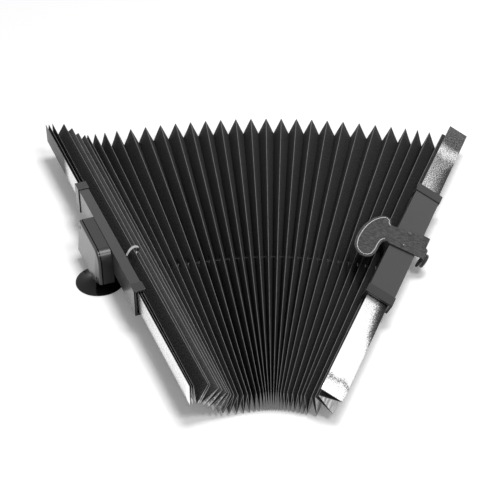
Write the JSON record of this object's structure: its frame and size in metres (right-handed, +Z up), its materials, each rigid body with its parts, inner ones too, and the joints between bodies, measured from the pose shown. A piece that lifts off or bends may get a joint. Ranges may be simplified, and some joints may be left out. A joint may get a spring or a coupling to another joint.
{
  "type": "windscreen sunshade",
  "caption": "Retractable pleated windscreen sunshade, fanned open between two bars, with a suction cup cord reel, a strap hook and a leather pull strap.",
  "frame": {"origin": "on the ground under the middle of the whole shade", "axes": "+Z up, +Y towards the wide end of the fan, +X towards the bar with the pull strap"},
  "size_m": [0.6618, 0.6794, 0.0785],
  "materials": {
    "black_film": "black matt non-woven face on a silver foil backing",
    "thin_cord": "thin dark braided cord",
    "grey_plastic": "dark grey satin moulded plastic",
    "dark_plastic": "near black satin moulded plastic",
    "foam_tape": "double-sided foam tape",
    "plated_steel": "bright plated steel",
    "dark_metal": "dark oxidised metal",
    "black_rubber": "glossy black rubber",
    "grey_leather": "dark grey grained leather",
    "light_thread": "light sewing thread"
  },
  "bodies": {
    "shade": {"pleated_shade": "black_film", "pull_cord": "thin_cord", "fixed_channel": "grey_plastic", "fixed_clip_narrow": "dark_plastic", "fixed_clip_wide": "dark_plastic", "fixed_tape": "foam_tape", "retractor_housing": "grey_plastic", "housing_cover": "grey_plastic", "cover_screw_1": "plated_steel", "cover_screw_2": "plated_steel", "bar_screw_1": "plated_steel", "bar_screw_2": "plated_steel", "reel_axle": "plated_steel", "mainspring": "plated_steel", "cord_eyelet": "dark_plastic", "suction_cup": "black_rubber", "cup_stud": "plated_steel", "cup_nut": "plated_steel", "strap_hook": "plated_steel", "hook_rivet": "plated_steel", "moving_channel": "grey_plastic", "moving_clip_narrow": "dark_plastic", "moving_clip_wide": "dark_plastic", "moving_tape": "foam_tape", "cord_stop": "plated_steel", "pull_strap": "grey_leather", "grip_stitching": "light_thread", "strap_rivet_1": "dark_metal", "strap_rivet_2": "dark_metal", "snap_button": "dark_plastic"},
    "reel": {"cord_reel": "dark_plastic", "wound_cord": "thin_cord"}
  },
  "joints": [
    {"name": "reel_turn", "type": "hinge", "parent": "shade", "child": "reel", "pos_m": [-0.22403, -0.03254, 0.0405], "axis": [0.9252, 0.3795, 0], "range_deg": [-900, 3600]}
  ]
}
